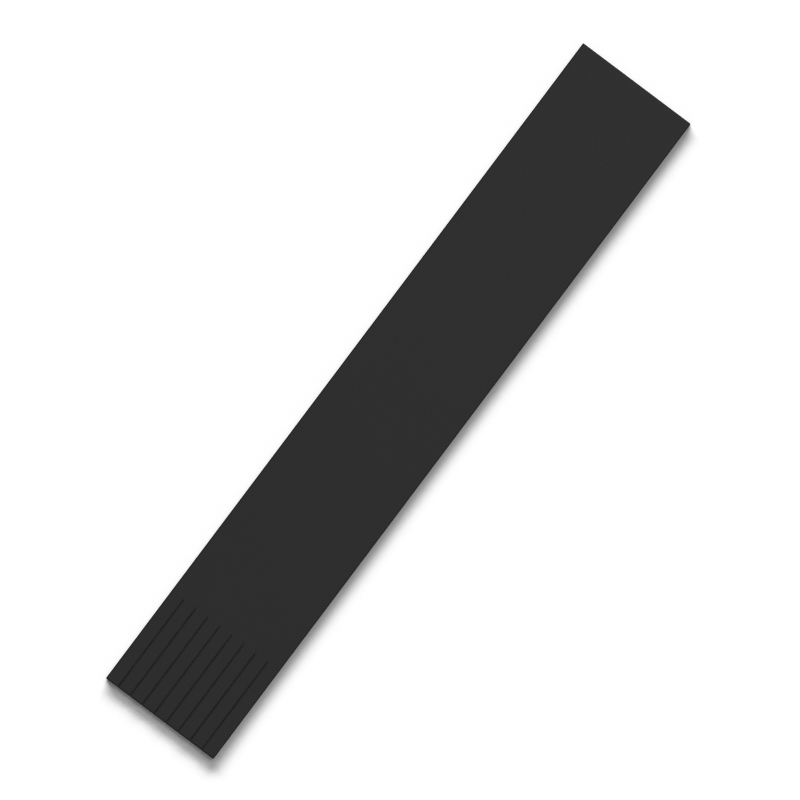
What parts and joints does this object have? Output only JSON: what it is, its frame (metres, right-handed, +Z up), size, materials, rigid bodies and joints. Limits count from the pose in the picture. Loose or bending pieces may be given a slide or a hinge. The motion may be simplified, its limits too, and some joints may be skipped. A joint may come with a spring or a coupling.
{
  "type": "leather bookmark",
  "caption": "Long thin charcoal leather strip with square corners, plain at its far end and slit into a fringe of narrow strands at the other, to lie between the pages of a book.",
  "frame": {"origin": "under the centre of the strip, on the back face that it rests on", "axes": "+X across the strip, +Y along it towards the plain end, +Z up out of the finish side"},
  "size_m": [0.038, 0.225, 0.001],
  "materials": {
    "finish_coat": "matt charcoal-black coat with a fine pressed leather grain",
    "fibre_core": "dyed-through bonded leather, felted at its back and fibrous at its cut edges"
  },
  "bodies": {
    "panel_1": {"panel_1_core": "fibre_core", "bend_1_core": "fibre_core", "panel_1_finish": "finish_coat"},
    "panel_2": {"panel_2_core": "fibre_core", "bend_2_core": "fibre_core", "panel_2_finish": "finish_coat"},
    "panel_3": {"panel_3_core": "fibre_core", "bend_3_core": "fibre_core", "panel_3_finish": "finish_coat"},
    "panel_4": {"panel_4_core": "fibre_core", "bend_4_core": "fibre_core", "panel_4_finish": "finish_coat"},
    "panel_5": {"panel_5_core": "fibre_core", "panel_5_finish": "finish_coat"},
    "panel_6": {"panel_6_core": "fibre_core", "bend_5_core": "fibre_core", "panel_6_finish": "finish_coat"},
    "panel_7": {"panel_7_core": "fibre_core", "bend_6_core": "fibre_core", "panel_7_finish": "finish_coat"},
    "panel_8": {"panel_8_core": "fibre_core", "bend_7_core": "fibre_core", "panel_8_finish": "finish_coat"},
    "panel_9": {"panel_9_core": "fibre_core", "bend_8_core": "fibre_core", "panel_9_finish": "finish_coat"},
    "strand_1": {"strand_1_root_core": "fibre_core", "strand_1_core": "fibre_core", "strand_1_finish": "finish_coat"},
    "strand_2": {"strand_2_root_core": "fibre_core", "strand_2_core": "fibre_core", "strand_2_finish": "finish_coat"},
    "strand_3": {"strand_3_root_core": "fibre_core", "strand_3_core": "fibre_core", "strand_3_finish": "finish_coat"},
    "strand_4": {"strand_4_root_core": "fibre_core", "strand_4_core": "fibre_core", "strand_4_finish": "finish_coat"},
    "strand_5": {"strand_5_root_core": "fibre_core", "strand_5_core": "fibre_core", "strand_5_finish": "finish_coat"},
    "strand_6": {"strand_6_root_core": "fibre_core", "strand_6_core": "fibre_core", "strand_6_finish": "finish_coat"},
    "strand_7": {"strand_7_root_core": "fibre_core", "strand_7_core": "fibre_core", "strand_7_finish": "finish_coat"},
    "strand_8": {"strand_8_root_core": "fibre_core", "strand_8_core": "fibre_core", "strand_8_finish": "finish_coat"},
    "strand_9": {"strand_9_root_core": "fibre_core", "strand_9_core": "fibre_core", "strand_9_finish": "finish_coat"}
  },
  "joints": [
    {"name": "bend_4_flex", "type": "hinge", "parent": "panel_5", "child": "panel_4", "pos_m": [0, 0.02717, 0.0005], "axis": [1, 0, 0], "range_deg": [-22.5, 22.5], "stiffness_Nm_per_rad": 0.00832, "deforming": ["bend_4_core", "panel_4_finish"]},
    {"name": "bend_3_flex", "type": "hinge", "parent": "panel_4", "child": "panel_3", "pos_m": [0, 0.05, 0.0005], "axis": [1, 0, 0], "range_deg": [-22.5, 22.5], "stiffness_Nm_per_rad": 0.00832, "deforming": ["bend_3_core", "panel_3_finish"]},
    {"name": "bend_2_flex", "type": "hinge", "parent": "panel_3", "child": "panel_2", "pos_m": [0, 0.07283, 0.0005], "axis": [1, 0, 0], "range_deg": [-22.5, 22.5], "stiffness_Nm_per_rad": 0.00832, "deforming": ["bend_2_core", "panel_2_finish"]},
    {"name": "bend_1_flex", "type": "hinge", "parent": "panel_2", "child": "panel_1", "pos_m": [0, 0.09567, 0.0005], "axis": [1, 0, 0], "range_deg": [-22.5, 22.5], "stiffness_Nm_per_rad": 0.00832, "deforming": ["bend_1_core", "panel_1_finish"]},
    {"name": "bend_5_flex", "type": "hinge", "parent": "panel_5", "child": "panel_6", "pos_m": [0, 0.00433, 0.0005], "axis": [-1, 0, 0], "range_deg": [-22.5, 22.5], "stiffness_Nm_per_rad": 0.00832, "deforming": ["bend_5_core", "panel_6_finish"]},
    {"name": "bend_6_flex", "type": "hinge", "parent": "panel_6", "child": "panel_7", "pos_m": [0, -0.0185, 0.0005], "axis": [-1, 0, 0], "range_deg": [-22.5, 22.5], "stiffness_Nm_per_rad": 0.00832, "deforming": ["bend_6_core", "panel_7_finish"]},
    {"name": "bend_7_flex", "type": "hinge", "parent": "panel_7", "child": "panel_8", "pos_m": [0, -0.04133, 0.0005], "axis": [-1, 0, 0], "range_deg": [-22.5, 22.5], "stiffness_Nm_per_rad": 0.00832, "deforming": ["bend_7_core", "panel_8_finish"]},
    {"name": "bend_8_flex", "type": "hinge", "parent": "panel_8", "child": "panel_9", "pos_m": [0, -0.06417, 0.0005], "axis": [-1, 0, 0], "range_deg": [-22.5, 22.5], "stiffness_Nm_per_rad": 0.00832, "deforming": ["bend_8_core", "panel_9_finish"]},
    {"name": "strand_1_flex", "type": "hinge", "parent": "panel_9", "child": "strand_1", "pos_m": [-0.01693, -0.087, 0.0005], "axis": [-1, 0, 0], "range_deg": [-45, 45], "stiffness_Nm_per_rad": 0.000656, "deforming": ["strand_1_root_core", "strand_1_finish"]},
    {"name": "strand_2_flex", "type": "hinge", "parent": "panel_9", "child": "strand_2", "pos_m": [-0.0127, -0.087, 0.0005], "axis": [-1, 0, 0], "range_deg": [-45, 45], "stiffness_Nm_per_rad": 0.000656, "deforming": ["strand_2_root_core", "strand_2_finish"]},
    {"name": "strand_3_flex", "type": "hinge", "parent": "panel_9", "child": "strand_3", "pos_m": [-0.00847, -0.087, 0.0005], "axis": [-1, 0, 0], "range_deg": [-45, 45], "stiffness_Nm_per_rad": 0.000656, "deforming": ["strand_3_root_core", "strand_3_finish"]},
    {"name": "strand_4_flex", "type": "hinge", "parent": "panel_9", "child": "strand_4", "pos_m": [-0.00423, -0.087, 0.0005], "axis": [-1, 0, 0], "range_deg": [-45, 45], "stiffness_Nm_per_rad": 0.000656, "deforming": ["strand_4_root_core", "strand_4_finish"]},
    {"name": "strand_5_flex", "type": "hinge", "parent": "panel_9", "child": "strand_5", "pos_m": [0, -0.087, 0.0005], "axis": [-1, 0, 0], "range_deg": [-45, 45], "stiffness_Nm_per_rad": 0.000656, "deforming": ["strand_5_root_core", "strand_5_finish"]},
    {"name": "strand_6_flex", "type": "hinge", "parent": "panel_9", "child": "strand_6", "pos_m": [0.00423, -0.087, 0.0005], "axis": [-1, 0, 0], "range_deg": [-45, 45], "stiffness_Nm_per_rad": 0.000656, "deforming": ["strand_6_root_core", "strand_6_finish"]},
    {"name": "strand_7_flex", "type": "hinge", "parent": "panel_9", "child": "strand_7", "pos_m": [0.00847, -0.087, 0.0005], "axis": [-1, 0, 0], "range_deg": [-45, 45], "stiffness_Nm_per_rad": 0.000656, "deforming": ["strand_7_root_core", "strand_7_finish"]},
    {"name": "strand_8_flex", "type": "hinge", "parent": "panel_9", "child": "strand_8", "pos_m": [0.0127, -0.087, 0.0005], "axis": [-1, 0, 0], "range_deg": [-45, 45], "stiffness_Nm_per_rad": 0.000656, "deforming": ["strand_8_root_core", "strand_8_finish"]},
    {"name": "strand_9_flex", "type": "hinge", "parent": "panel_9", "child": "strand_9", "pos_m": [0.01693, -0.087, 0.0005], "axis": [-1, 0, 0], "range_deg": [-45, 45], "stiffness_Nm_per_rad": 0.000656, "deforming": ["strand_9_root_core", "strand_9_finish"]}
  ]
}
